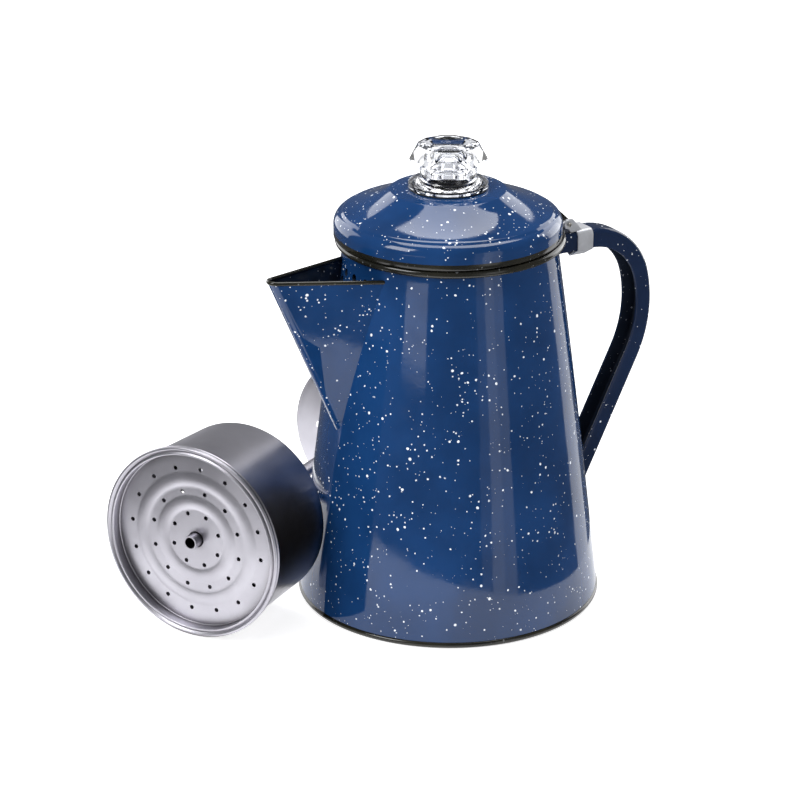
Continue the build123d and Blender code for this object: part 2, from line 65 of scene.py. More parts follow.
# ---------------------------------------------------------------- node helpers
class Shader:
    """A material under construction: its node tree and a few short ways to add nodes."""

    def __init__(self, name):
        self.material = bpy.data.materials.new(name)
        self.material.use_nodes = True
        self.tree = self.material.node_tree
        self.surface = self.tree.nodes["Principled BSDF"]
        self.point = self.add("ShaderNodeTexCoord").outputs["Object"]

    def add(self, kind, **settings):
        node = self.tree.nodes.new(kind)
        for key, value in settings.items():
            setattr(node, key, value)
        return node

    def put(self, socket, value):
        if isinstance(value, bpy.types.NodeSocket):
            self.tree.links.new(value, socket)
        else:
            socket.default_value = value

    def math(self, operation, a, b=0.0, clamp=False):
        node = self.add("ShaderNodeMath", operation=operation, use_clamp=clamp)
        self.put(node.inputs[0], a)
        self.put(node.inputs[1], b)
        return node.outputs[0]

    def ramp(self, value, low, high, to_low=0.0, to_high=1.0):
        """Smooth step of value from low..high to to_low..to_high."""
        node = self.add("ShaderNodeMapRange", interpolation_type="SMOOTHSTEP")
        self.put(node.inputs["Value"], value)
        self.put(node.inputs["From Min"], low)
        self.put(node.inputs["From Max"], high)
        self.put(node.inputs["To Min"], to_low)
        self.put(node.inputs["To Max"], to_high)
        return node.outputs["Result"]

    def mix(self, factor, a, b):
        node = self.add("ShaderNodeMix", data_type="RGBA")
        self.put(node.inputs["Factor"], factor)
        self.put(node.inputs[6], a)
        self.put(node.inputs[7], b)
        return node.outputs[2]

    def stretched(self, scale):
        """The object's own coordinates, multiplied by a vector."""
        node = self.add("ShaderNodeMapping")
        self.put(node.inputs["Vector"], self.point)
        self.put(node.inputs["Scale"], scale)
        return node.outputs["Vector"]

    def noise(self, scale, detail=2.0, roughness=0.5, at=None):
        node = self.add("ShaderNodeTexNoise")
        self.put(node.inputs["Vector"], at or self.point)
        self.put(node.inputs["Scale"], scale)
        self.put(node.inputs["Detail"], detail)
        self.put(node.inputs["Roughness"], roughness)
        return node.outputs["Fac"]

    def bump(self, height, distance, strength=1.0, under=None):
        node = self.add("ShaderNodeBump")
        self.put(node.inputs["Height"], height)
        self.put(node.inputs["Distance"], distance)
        self.put(node.inputs["Strength"], strength)
        if under:
            self.put(node.inputs["Normal"], under)
        return node.outputs["Normal"]

    def axis_part(self, index):
        """X, Y or Z of the object's own coordinates."""
        node = self.add("ShaderNodeSeparateXYZ")
        self.put(node.inputs[0], self.point)
        return node.outputs[index]

    def radius(self):
        """Distance from the object's own Z axis."""
        x, y = self.axis_part(0), self.axis_part(1)
        return self.math("SQRT", self.math("ADD", self.math("MULTIPLY", x, x), self.math("MULTIPLY", y, y)))

    def corners(self, reach):
        """Painted shade mask: nought in tight corners, where shade falls, rising to one in the open."""
        node = self.add("ShaderNodeAmbientOcclusion", samples=8)
        self.put(node.inputs["Distance"], reach)
        return self.ramp(node.outputs["AO"], 0.35, 0.9)

    def finish(self, **inputs):
        for name, value in inputs.items():
            self.put(self.surface.inputs[name.replace("_", " ")], value)
        return self.material


def specks(shader, cell, size, cluster_scale, seed):
    """White flecks thrown on wet enamel: cut balls about random points, thinned out between loose clusters."""
    wobble = shader.add("ShaderNodeTexNoise")
    shader.put(wobble.inputs["Vector"], shader.point)
    shader.put(wobble.inputs["Scale"], 900.0)
    moved = shader.add("ShaderNodeVectorMath", operation="MULTIPLY_ADD")
    shader.put(moved.inputs[0], wobble.outputs["Color"])
    moved.inputs[1].default_value = (0.0005, 0.0005, 0.0005)
    shader.put(moved.inputs[2], shader.point)
    shifted = shader.add("ShaderNodeVectorMath", operation="ADD")
    shader.put(shifted.inputs[0], moved.outputs[0])
    shifted.inputs[1].default_value = (seed, 2.3 * seed, -1.7 * seed)
    cells = shader.add("ShaderNodeTexVoronoi")
    shader.put(cells.inputs["Vector"], shifted.outputs[0])
    shader.put(cells.inputs["Scale"], 1.0 / cell)
    pick = shader.add("ShaderNodeSeparateColor")
    shader.put(pick.inputs[0], cells.outputs["Color"])
    cluster = shader.ramp(shader.noise(cluster_scale, 2.0, at=shifted.outputs[0]), 0.36, 0.62, 0.25, 1.0)
    own_size = shader.math("MULTIPLY", shader.math("MULTIPLY", pick.outputs[0], size / cell), cluster)
    away = cells.outputs["Distance"]
    return shader.ramp(away, shader.math("MULTIPLY", own_size, 0.7), own_size, 1.0, 0.0)


# ---------------------------------------------------------------- materials
def enamel(name, deep, pale, fleck_share, rough_low, rough_high):
    """Glassy dipped enamel: two tones in slow clouds, thrown white flecks, and a slightly wavy skin."""
    m = Shader(name)
    tone = m.mix(m.ramp(m.noise(30.0, 3.0), 0.3, 0.7), (*deep, 1), (*pale, 1))
    large = specks(m, 0.0028, 0.00080, 70.0, 0.31)
    small = specks(m, 0.0020, 0.00052, 85.0, 1.7)
    flecks = m.math("MAXIMUM", large, m.math("MULTIPLY", small, 0.8))
    colour = m.mix(m.math("MULTIPLY", flecks, fleck_share), tone, (0.84, 0.88, 0.94, 1))
    waves = m.bump(m.noise(45.0, 1.0), 0.00030, 0.5)
    peel = m.bump(m.noise(420.0, 2.0), 0.000015, 0.5, waves)
    raised = m.bump(flecks, 0.00003, 0.5, peel)
    return m.finish(Base_Color=colour, Roughness=m.ramp(m.noise(140.0, 4.0), 0.3, 0.8, rough_low, rough_high),
                    Normal=raised, IOR=1.5)


def satin_aluminium():
    """Spun and etched aluminium: fine rings about the set's own axis and a soft grain."""
    m = Shader("satin_aluminium")
    grain = m.noise(2600.0, 3.0, 0.6)
    rings = m.add("ShaderNodeCombineXYZ")
    m.put(rings.inputs[0], m.math("MULTIPLY", m.radius(), 2200.0))
    m.put(rings.inputs[1], m.math("MULTIPLY", m.axis_part(2), 900.0))
    lines = m.noise(1.0, 3.0, 0.6, at=rings.outputs[0])
    cloud = m.noise(35.0, 3.0)
    unshaded_tone = m.mix(m.ramp(cloud, 0.3, 0.7), (0.44, 0.43, 0.475, 1), (0.54, 0.53, 0.58, 1))
    # painted shade: the aluminium goes near-black in tight corners and recesses
    colour = m.mix(m.corners(0.007), (0.10, 0.09, 0.10, 1), unshaded_tone)
    normal = m.bump(lines, 0.00002, 0.35, m.bump(grain, 0.00001, 0.4))
    return m.finish(Base_Color=colour, Metallic=1.0, Roughness=m.ramp(grain, 0.3, 0.8, 0.32, 0.46), Normal=normal)


def plated_sheet():
    """Dull plated steel strip of the hinge bracket."""
    m = Shader("plated_steel")
    drag = m.noise(1.0, 3.0, 0.6, at=m.stretched((260.0, 3200.0, 3200.0)))
    cloud = m.noise(160.0, 3.0)
    colour = m.mix(m.ramp(cloud, 0.3, 0.7), (0.58, 0.59, 0.62, 1), (0.74, 0.75, 0.79, 1))
    return m.finish(Base_Color=colour, Metallic=0.55, Roughness=m.ramp(drag, 0.3, 0.8, 0.30, 0.46),
                    Normal=m.bump(drag, 0.00002, 0.3))


def bright_wire():
    """Hinge pin, drawn wire gone slightly warm."""
    m = Shader("pin_wire")
    colour = m.mix(m.ramp(m.noise(500.0, 3.0), 0.3, 0.7), (0.45, 0.42, 0.34, 1), (0.72, 0.70, 0.64, 1))
    return m.finish(Base_Color=colour, Metallic=1.0, Roughness=m.ramp(m.noise(900.0), 0.3, 0.7, 0.18, 0.35))


def clear_glass():
    """Pressed glass with faint ripples left by the mould."""
    m = Shader("clear_glass")
    ripples = m.bump(m.noise(260.0, 2.0), 0.00005, 0.4)
    tint = m.mix(m.noise(90.0, 2.0), (0.72, 0.73, 0.76, 1), (0.80, 0.805, 0.825, 1))
    return m.finish(Base_Color=tint, Roughness=m.ramp(m.noise(300.0, 3.0), 0.4, 0.8, 0.0, 0.03),
                    Normal=ripples, IOR=1.5, Transmission_Weight=1.0)


def dark_rubber():
    m = Shader("gasket_rubber")
    tone = m.mix(m.noise(300.0, 3.0), (0.012, 0.012, 0.011, 1), (0.035, 0.034, 0.030, 1))
    return m.finish(Base_Color=tone, Roughness=m.ramp(m.noise(700.0), 0.3, 0.7, 0.45, 0.65),
                    Normal=m.bump(m.noise(1200.0), 0.00003, 0.4))


FLOOR_GLOW = 0.80             # lifts the sweep to a shadowless white


def pale_floor():
    m = Shader("floor_paper")
    tone = m.mix(m.noise(9.0, 3.0), (0.60, 0.60, 0.60, 1), (0.64, 0.64, 0.64, 1))
    return m.finish(Base_Color=tone, Roughness=0.75, Normal=m.bump(m.noise(500.0), 0.0001, 0.1),
                    Emission_Color=(1.0, 1.0, 1.0, 1), Emission_Strength=FLOOR_GLOW)


BLUE = enamel("blue_enamel", (0.0040, 0.0270, 0.0950), (0.0070, 0.0410, 0.1400), 1.0, 0.05, 0.12)
# painted shade: the insides of pot, spout, lid and handle channel get this darker copy of the enamel for the shade
# in them
SHADED_LINING = enamel("shaded_lining_enamel", (0.0110, 0.0160, 0.0280), (0.0190, 0.0260, 0.0430), 0.5, 0.12, 0.24)
# painted shade: the strap is the wall's enamel, given a deeper tone for the shade it sits in
SHADED_STRAP_BLUE = enamel("shaded_strap_enamel", (0.0040, 0.0130, 0.0420), (0.0075, 0.0200, 0.0600), 1.0, 0.08, 0.16)
BLACK = enamel("black_enamel", (0.0070, 0.0072, 0.0060), (0.0200, 0.0185, 0.0120), 0.12, 0.10, 0.22)
ALUMINIUM = satin_aluminium()
PLATED = plated_sheet()
WIRE = bright_wire()
GLASS = clear_glass()
RUBBER = dark_rubber()
PAPER = pale_floor()


# ---------------------------------------------------------------- outlines, in mm
def arc(centre, radius, start, end, step=9.0):
    """Points of a circular arc, angles in degrees."""
    count = max(2, round(abs(end - start) / step))
    angles = [math.radians(start + (end - start) * i / count) for i in range(count + 1)]
    return [(centre[0] + radius * math.cos(a), centre[1] + radius * math.sin(a)) for a in angles]


def through(a, b, c, count):
    """Points of the circular arc from a through b to c."""
    d = 2 * (a[0] * (b[1] - c[1]) + b[0] * (c[1] - a[1]) + c[0] * (a[1] - b[1]))
    sa, sb, sc = (p[0] ** 2 + p[1] ** 2 for p in (a, b, c))
    ux = (sa * (b[1] - c[1]) + sb * (c[1] - a[1]) + sc * (a[1] - b[1])) / d
    uy = (sa * (c[0] - b[0]) + sb * (a[0] - c[0]) + sc * (b[0] - a[0])) / d
    start = math.atan2(a[1] - uy, a[0] - ux)
    end = math.atan2(c[1] - uy, c[0] - ux)
    turn = (end - start + math.pi) % (2 * math.pi) - math.pi
    radius = math.hypot(a[0] - ux, a[1] - uy)
    angles = [start + turn * i / count for i in range(count + 1)]
    return [(ux + radius * math.cos(t), uy + radius * math.sin(t)) for t in angles]


def rounded(points, step=12.0):
    """Polyline of (x, z, corner radius) with its corners turned into arcs."""
    line = [points[0][:2]]
    for before, corner, after in zip(points, points[1:], points[2:]):
        here = Vector(corner[:2])
        back = (Vector(before[:2]) - here).normalized()
        ahead = (Vector(after[:2]) - here).normalized()
        half = back.angle(ahead) / 2
        if corner[2] <= 0 or half > math.radians(89.5):
            line.append(tuple(here))
            continue
        setback = corner[2] / math.tan(half)
        centre = here + (back + ahead).normalized() * (corner[2] / math.sin(half))
        start = here + back * setback
        end = here + ahead * setback
        count = max(2, round(math.degrees(math.pi - 2 * half) / step))
        first = start - centre
        last = end - centre
        sweep = first.angle_signed(last)
        for i in range(count + 1):
            line.append(tuple(centre + Matrix.Rotation(-sweep * i / count, 2) @ first))
    line.append(points[-1][:2])
    return line


# ---------------------------------------------------------------- mesh helpers
def make_object(name, vertices, faces, materials, indices=None, sharp=38.0, place=None):
    """Mesh object from points in mm, smooth except at edges sharper than an angle."""
    mesh = bpy.data.meshes.new(name)
    mesh.from_pydata([tuple(c * MM for c in v) for v in vertices], [], faces)
    for material in materials:
        mesh.materials.append(material)
    if indices is not None:
        mesh.polygons.foreach_set("material_index", indices)
    tidy = bmesh.new()
    tidy.from_mesh(mesh)
    bmesh.ops.remove_doubles(tidy, verts=tidy.verts, dist=1e-7)
    bmesh.ops.dissolve_degenerate(tidy, edges=tidy.edges, dist=1e-7)
    bmesh.ops.recalc_face_normals(tidy, faces=tidy.faces)
    tidy.to_mesh(mesh)
    tidy.free()
    mesh.shade_smooth()
    mesh.set_sharp_from_angle(angle=math.radians(sharp))
    thing = bpy.data.objects.new(name, mesh)
    bpy.context.scene.collection.objects.link(thing)
    if place is not None:
        thing.matrix_world = place
    return thing


def side_normals(path):
    """Unit normals on the left of a path, averaged at its corners."""
    points = np.array(path, float)
    runs = np.diff(points, axis=0)
    runs /= np.linalg.norm(runs, axis=1)[:, None]
    left = np.stack([-runs[:, 1], runs[:, 0]], 1)
    both = np.vstack([left[:1], left[:-1] + left[1:], left[-1:]])
    both[1:-1] /= 2
    return both / np.maximum(np.einsum("ij,ij->i", both, both), 0.35)[:, None]


def sheet_lathe(name, path, thickness, materials, segments=256, holes=(), tint=None, place=None, back=0):
    """A spun sheet: the path turned about Z, given a thickness on its left, with round holes through it.

    holes are (centre, direction, radius); tint gives each run of the path its material; back is the
    material of the other side."""
    path = np.array(path, float)
    turns = np.arange(segments) * 2 * math.pi / segments
    rows = len(path)

    def turned(line):
        spin = np.stack([np.cos(turns), np.sin(turns)], 1)
        flat = line[:, 0][:, None, None] * spin[None]
        return np.dstack([flat, np.repeat(line[:, 1][:, None], segments, 1)]).reshape(-1, 3)

    front = turned(path)
    rear = turned(path + side_normals(path) * thickness)
    row, column = np.meshgrid(np.arange(rows - 1), np.arange(segments), indexing="ij")
    after = (column + 1) % segments
    quads = np.stack([row * segments + column, row * segments + after,
                      (row + 1) * segments + after, (row + 1) * segments + column], -1).reshape(-1, 4)
    run = row.reshape(-1)
    keep = np.ones(len(quads), bool)
    centres = front[quads].mean(1)
    for centre, direction, radius in holes:
        centre, direction = np.array(centre, float), np.array(direction, float)
        offset = centres - centre
        along = offset @ direction
        gone = keep & (np.linalg.norm(offset - along[:, None] * direction, axis=1) < radius) & (abs(along) < 8)
        rim = np.intersect1d(quads[gone], quads[keep & ~gone])
        for layer in (front, rear):
            out = layer[rim] - centre
            depth = (out @ direction)[:, None] * direction
            spoke = out - depth
            spoke *= (radius / np.linalg.norm(spoke, axis=1))[:, None]
            layer[rim] = centre + depth + spoke
        keep &= ~gone
    quads, run = quads[keep], run[keep]
    shift = len(front)
    edges = np.concatenate([quads[:, [i, (i + 1) % 4]] for i in range(4)])
    owner = np.tile(run, 4)
    ordered = np.sort(edges, 1)
    code = ordered[:, 0].astype(np.int64) * shift + ordered[:, 1]
    unique, first, count = np.unique(code, return_index=True, return_counts=True)
    border = first[count == 1]
    walls = np.stack([edges[border, 1], edges[border, 0], edges[border, 0] + shift, edges[border, 1] + shift], 1)
    pick = np.array([tint(i) if tint else 0 for i in range(rows - 1)])
    faces = np.concatenate([quads, quads[:, ::-1] + shift, walls])
    indices = np.concatenate([pick[run], np.full(len(run), back), pick[owner[border]]])
    points = np.concatenate([front, rear])
    used, compact = np.unique(faces, return_inverse=True)
    compact = compact.reshape(faces.shape)
    return make_object(name, points[used].tolist(), compact.tolist(), materials, indices.astype(np.int32),
                       place=place)


def solid_lathe(name, outline, materials, segments=240, sides=0, tint=None, place=None, sharp=38.0):
    """A turned solid. Each outline point is (radius, z) or (radius, z, 1) for a ring with flat sides."""
    points, faces, indices = [], [], []
    for spot in outline:
        flat = sides and len(spot) > 2 and spot[2]
        for i in range(segments):
            angle = 2 * math.pi * i / segments
            radius = spot[0]
            if flat:
                step = 2 * math.pi / sides
                radius *= math.cos(step / 2) / math.cos(angle % step - step / 2)
            points.append((radius * math.cos(angle), radius * math.sin(angle), spot[1]))
    for row in range(len(outline) - 1):
        for i in range(segments):
            after = (i + 1) % segments
            faces.append((row * segments + i, row * segments + after,
                          (row + 1) * segments + after, (row + 1) * segments + i))
            indices.append(tint(row) if tint else 0)
    return make_object(name, points, faces, materials, indices, place=place, sharp=sharp)


def swept(name, rings, materials, closed_ends=True, tint=None, sharp=38.0):
    """A skin over rings of points that all have the same count."""
    count = len(rings[0])
    points = [p for ring in rings for p in ring]
    faces, indices = [], []
    for row in range(len(rings) - 1):
        for i in range(count):
            after = (i + 1) % count
            faces.append((row * count + i, row * count + after, (row + 1) * count + after, (row + 1) * count + i))
            indices.append(tint(i) if tint else 0)
    if closed_ends:
        faces.append(tuple(range(count)))
        faces.append(tuple((len(rings) - 1) * count + i for i in reversed(range(count))))
        indices += [0, 0]
    return make_object(name, points, faces, materials, indices, sharp=sharp)


def stand_for(piece, node, body):
    """The piece is shown in place of a CAD node, and moves with its body."""
    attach(piece, body)
    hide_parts(node)
    return piece


def soften(thing, width, segments=2):
    """Round a mesh's sharp edges a little."""
    weld = thing.modifiers.new("weld", "WELD")
    weld.merge_threshold = 1e-6
    flatten = thing.modifiers.new("flatten", "DECIMATE")
    flatten.decimate_type = "DISSOLVE"
    flatten.angle_limit = math.radians(1.0)
    bevel = thing.modifiers.new("bevel", "BEVEL")
    bevel.width = width * MM
    bevel.segments = segments
    bevel.limit_method = "ANGLE"
    bevel.angle_limit = math.radians(40)
    bevel.harden_normals = False
    normals = thing.modifiers.new("normals", "WEIGHTED_NORMAL")
    normals.keep_sharp = True


# ---------------------------------------------------------------- pot wall
WALL_FOOT = (65.4, 2.6)
WALL_MIDDLE = (55.6, 84.0)
WALL_NECK = (45.5, 158.0)
RIM_CENTRE = (47.2, 160.5)
RIM_RADIUS = 1.6
STRAINER_TOP_Z = 150.6
STRAINER_ROW_STEP = 4.2
STRAINER_STEP = 9.8
STRAINER_ROWS = (3, 4, 3, 2, 1)
STRAINER_RADIUS = 1.6


def wall_radius(z):
    """Outside radius of the pot at a height, on the circle through the wall's three radii."""
    heights = [p[1] for p in WALL_LINE]
    return float(np.interp(z, heights, [p[0] for p in WALL_LINE]))


WALL_LINE = through(WALL_FOOT, WALL_MIDDLE, WALL_NECK, 120)


def pot_wall():
    inner = [(r - SHEET, z) for r, z in through(WALL_FOOT, WALL_MIDDLE, WALL_NECK, 30)]
    fine = [(wall_radius(z) - SHEET, z) for z in np.arange(130.0, 153.5, 0.5)]
    lower = [p for p in inner if p[1] < 129.5]
    upper = [p for p in inner if p[1] > 154.0]
    mouth_turn = RIM_CENTRE[0] - (WALL_NECK[0] - SHEET)
    mouth_centre = (RIM_CENTRE[0], RIM_CENTRE[1] + RIM_RADIUS - mouth_turn)
    mouth = arc(mouth_centre, mouth_turn, 180, 92)
    curl = arc(RIM_CENTRE, RIM_RADIUS, 90, -170, 12)
    path = lower + fine + upper + mouth + curl
    holes = []
    for row, count in enumerate(STRAINER_ROWS):
        for place in range(count):
            bearing = math.radians(180 + (place - (count - 1) / 2) * STRAINER_STEP)
            out = (math.cos(bearing), math.sin(bearing), 0.0)
            z = STRAINER_TOP_Z - row * STRAINER_ROW_STEP
            holes.append(((WALL_NECK[0] * out[0], WALL_NECK[0] * out[1], z), out, STRAINER_RADIUS))
    # the path runs up the inside, so its own side is the dark inside enamel, painted darker as shade, and its back
    # is the blue outside
    piece = sheet_lathe("pot_shell", path, -SHEET, [BLUE, SHADED_LINING, BLACK], segments=480, holes=holes,
                        tint=lambda run: 1, back=0)
    rim_low = (RIM_CENTRE[1] - RIM_RADIUS - 0.6) * MM
    for face in piece.data.polygons:
        if face.center.z > rim_low:
            face.material_index = 2
    return stand_for(piece, "pot_wall", "pot")


pot_wall()


# ---------------------------------------------------------------- pot base
def pot_base():
    outline = [(0, 1.0), (60.0, 1.0)] + rounded([(63.2, 1.0, 0), (63.6, 2.6, 0.5), (64.6, 2.6, 0)])
    outline += arc((64.8, 1.32), 1.3, 95, -85, 12) + [(64.0, 0.0), (0, 0.0)]
    piece = solid_lathe("pot_base_seam", outline, [BLACK], segments=256)
    return stand_for(piece, "pot_base", "pot")


pot_base()


# ---------------------------------------------------------------- spout
SPOUT_TIP = (-87.1, 156.6)
SPOUT_FOOT = (-55.5, 84.2)
SPOUT_HALF_ANGLE = math.radians(19.5)
SPOUT_NOSE_RADIUS = 4.0
SPOUT_RIM_SLOPE = 2.2 / 43.6
SPOUT_BEAD_RADIUS = 0.9
SPOUT_LOWEST_Z = 82.0
SPOUT_LEAN = (SPOUT_TIP[0] - SPOUT_FOOT[0]) / (SPOUT_TIP[1] - SPOUT_FOOT[1])


def spout_point(share, z, inset, sink=0.45):
    """A point of the V's level section: share runs -1..1 from wall to wall, 0 on the crease."""
    radius = SPOUT_NOSE_RADIUS - inset
    nose_x = SPOUT_FOOT[0] + SPOUT_LEAN * (z - SPOUT_FOOT[1]) + inset
    centre_x = nose_x + radius
    turn = math.pi / 2 - SPOUT_HALF_ANGLE
    start = Vector((centre_x - radius * math.cos(turn), radius * math.sin(turn)))
    ahead = Vector((math.cos(SPOUT_HALF_ANGLE), math.sin(SPOUT_HALF_ANGLE)))
    wall = wall_radius(z) - sink
    half = start.dot(ahead)
    reach = -half - math.sqrt(max(half * half - start.length_squared + wall * wall, 0.0))
    side = 1 if share >= 0 else -1
    nose_share = 0.16
    amount = abs(share)
    if reach <= 0.05:
        # near the bottom only the rounded nose stands out of the wall
        low, high = 0.0, turn
        for _ in range(30):
            middle = (low + high) / 2
            spot = Vector((centre_x - radius * math.cos(middle), radius * math.sin(middle)))
            low, high = (middle, high) if spot.length > wall else (low, middle)
        angle = low * amount
        return (centre_x - radius * math.cos(angle), side * radius * math.sin(angle), z)
    if amount < nose_share:
        angle = turn * amount / nose_share
        return (centre_x - radius * math.cos(angle), side * radius * math.sin(angle), z)
    spot = start + ahead * reach * (amount - nose_share) / (1 - nose_share)
    return (spot.x, side * spot.y, z)


def rim_height(x):
    """Height of the spout's rim plane above a place."""
    return SPOUT_TIP[1] - (x - SPOUT_TIP[0]) * SPOUT_RIM_SLOPE


def spout():
    shares = [math.copysign(abs(s) ** 1.15, s) for s in np.linspace(-1, 1, 97)]
    rows = 60
    layers = []
    for inset in (0.0, SHEET):
        lowest = SPOUT_LOWEST_Z + inset * 1.5
        grid = []
        for row in range(rows + 1):
            line = []
            for share in shares:
                z = lowest + (rim_height(-65.0) - lowest) * row / rows
                x = spout_point(share, z, inset)[0]
                z = lowest + (rim_height(x) - SPOUT_BEAD_RADIUS - lowest) * row / rows
                line.append(spout_point(share, z, inset))
            grid.append(line)
        layers.append(grid)
    points = [p for grid in layers for line in grid for p in line]
    wide = len(shares)
    inner_start = wide * (rows + 1)
    faces, indices = [], []
    for layer, material in ((0, 0), (1, 1)):
        for row in range(rows):
            for i in range(wide - 1):
                a = layer * inner_start + row * wide + i
                quad = (a, a + 1, a + 1 + wide, a + wide)
                faces.append(quad if layer else quad[::-1])
                indices.append(material)
    for row in range(rows):
        for i in (0, wide - 1):
            a = row * wide + i
            faces.append((a, a + wide, a + wide + inner_start, a + inner_start))
            indices.append(0)
    for i in range(wide - 1):
        for a in (i, rows * wide + i):
            faces.append((a, a + 1, a + 1 + inner_start, a + inner_start))
            indices.append(1 if a > i else 0)
    # the rolled rim, a ring of small circles along the top edge
    ring_size = 14
    base = len(points)
    top = [Vector(layers[0][rows][i]).lerp(Vector(layers[1][rows][i]), 0.5) for i in range(wide)]
    for i, spot in enumerate(top):
        ahead = (top[min(i + 1, wide - 1)] - top[max(i - 1, 0)]).normalized()
        out = ahead.cross(Vector((0, 0, 1))).normalized()
        up = out.cross(ahead)
        for k in range(ring_size):
            angle = 2 * math.pi * k / ring_size
            points.append(tuple(spot + (out * math.cos(angle) + up * math.sin(angle)) * SPOUT_BEAD_RADIUS))
    for i in range(wide - 1):
        for k in range(ring_size):
            a, b = base + i * ring_size + k, base + i * ring_size + (k + 1) % ring_size
            faces.append((a, b, b + ring_size, a + ring_size))
            indices.append(2)
    for end in (base, base + (wide - 1) * ring_size):
        faces.append(tuple(end + k for k in range(ring_size)))
        indices.append(2)
    piece = make_object("spout_sheet", points, faces, [BLUE, SHADED_LINING, BLACK], indices, sharp=50)
    return stand_for(piece, "spout", "pot")


spout()


# ---------------------------------------------------------------- handle
HANDLE_TOP_Z = 154.3
HANDLE_START_X = 45.6
HANDLE_STRAIGHT_X = 68.6
HANDLE_BENDS = ((31.3, 75.1), (58.3, 41.2))
HANDLE_HALF_WIDTH = 6.0
HANDLE_DEPTH = 8.4
HANDLE_CORNER = 2.2
HANDLE_SINK = 0.5


def handle_section():
    """Channel outline as (across, out), out being 0 on the strap's back, and its lining's first and last point."""
    half, depth, corner, inner = HANDLE_HALF_WIDTH, HANDLE_DEPTH, HANDLE_CORNER, HANDLE_HALF_WIDTH - SHEET
    back = rounded([(-half, -depth + SHEET / 2, 0), (-half, 0, corner), (half, 0, corner),
                    (half, -depth + SHEET / 2, 0)], 10)
    lining = rounded([(inner, -depth + SHEET / 2, 0), (inner, -SHEET, corner - SHEET),
                      (-inner, -SHEET, corner - SHEET), (-inner, -depth + SHEET / 2, 0)], 15)
    near_edge = arc((half - SHEET / 2, -depth + SHEET / 2), SHEET / 2, 0, -180, 30)[1:-1]
    far_edge = arc((SHEET / 2 - half, -depth + SHEET / 2), SHEET / 2, 0, -180, 30)[1:-1]
    first = len(back) + len(near_edge)
    return back + near_edge + lining + far_edge, first, first + len(lining) - 1


def handle():
    x, z, heading = HANDLE_START_X, HANDLE_TOP_Z, 0.0
    stations = [(x, z, heading)]
    for i in range(1, 13):
        stations.append((x + (HANDLE_STRAIGHT_X - x) * i / 12, z, heading))
    x = HANDLE_STRAIGHT_X
    for radius, turn in HANDLE_BENDS:
        count = round(turn / 3)
        for i in range(1, count + 1):
            step = math.radians(turn / count)
            x += radius * (math.sin(heading + step) - math.sin(heading))
            z += radius * (math.cos(heading + step) - math.cos(heading))
            heading += step
            stations.append((x, z, heading))
    ahead = Vector((math.cos(heading), -math.sin(heading)))
    for i in range(1, 15):
        stations.append((x + ahead.x * 4.6 * i, z + ahead.y * 4.6 * i, heading))
    section, lining_first, lining_last = handle_section()
    rings = []
    for x, z, heading in stations:
        out = Vector((math.sin(heading), math.cos(heading)))
        rings.append([(x + out.x * o, y, z + out.y * o) for y, o in section])
    # the lower end is cut to the wall, each line of the channel running on until it is inside the sheet
    last = []
    for px, py, pz in rings[-1]:
        run = 0.0
        while math.hypot(px + ahead.x * run, py) > wall_radius(pz + ahead.y * run) - HANDLE_SINK and run < 60:
            run += 0.1
        last.append((px + ahead.x * run, py, pz + ahead.y * run))
    rings.append(last)
    # painted shade: the strap's outside takes the darker blue, and its channel takes the darkened inside enamel
    piece = swept("handle_strap", rings, [SHADED_STRAP_BLUE, SHADED_LINING],
                  tint=lambda i: 1 if lining_first <= i < lining_last else 0)
    return stand_for(piece, "handle", "pot")


handle()


# ---------------------------------------------------------------- lid
LID_PLACE = Matrix.Translation((-1.2 * MM, 0, 0))


def lid_shell():
    brow = through((48.3, 167.2), (47.85, 169.9), (46.3, 171.9), 12)
    flank = through((43.9, 173.3), (34.0, 176.8), (25.2, 181.86), 24)
    path = [(47.8, 162.75), (48.1, 162.6), (48.3, 162.9), (48.3, 165.0)] + brow
    path += rounded([(46.3, 171.9, 0), (45.1, 172.3, 0.5), (44.1, 173.2, 0.4), (43.4, 173.45, 0)], 12)[1:-1]
    path += flank[1:]
    path += rounded([(25.2, 181.86, 0), (24.4, 182.4, 0.9), (19.0, 183.1, 2.5), (13.1, 183.1, 0)], 10)[1:]
    path += [(12.9, 182.95), (12.9, 182.3)]
    black_runs = 3                # the first runs of the path are the black lower edge
    piece = sheet_lathe("lid_dome", path, SHEET, [BLUE, BLACK, SHADED_LINING], segments=320,
                        tint=lambda run: 1 if run < black_runs else 0, back=2, place=LID_PLACE)
    return stand_for(piece, "lid_shell", "lid")


lid_shell()


# ---------------------------------------------------------------- infuser set
heading = Vector((math.cos(SET_HEADING), math.sin(SET_HEADING), 0))
aside = Vector((-math.sin(SET_HEADING), math.cos(SET_HEADING), 0))
set_up = (Vector((0, 0, (SET_RIM_RADIUS - SET_FOOT_RADIUS) / SET_HEIGHT)) - heading).normalized()
rim_centre = heading * SET_ALONG + aside * SET_ASIDE + Vector((0, 0, SET_RIM_RADIUS + FLOOR_GAP))
foot_centre = (rim_centre - set_up * SET_HEIGHT) * MM
SET_PLACE = Matrix((aside, set_up.cross(aside), set_up)).transposed().to_4x4()
SET_PLACE.translation = foot_centre

UP = (0.0, 0.0, 1.0)


def ring_holes(rings, radius, z):
    """Holes parallel to the set's axis, in concentric rings of (ring radius, count, degrees to the first)."""
    holes = []
    for ring_radius, count, turn in rings:
        for i in range(count):
            angle = 2 * math.pi * i / count + math.radians(turn)
            holes.append(((ring_radius * math.cos(angle), ring_radius * math.sin(angle), z), UP, radius))
    return holes


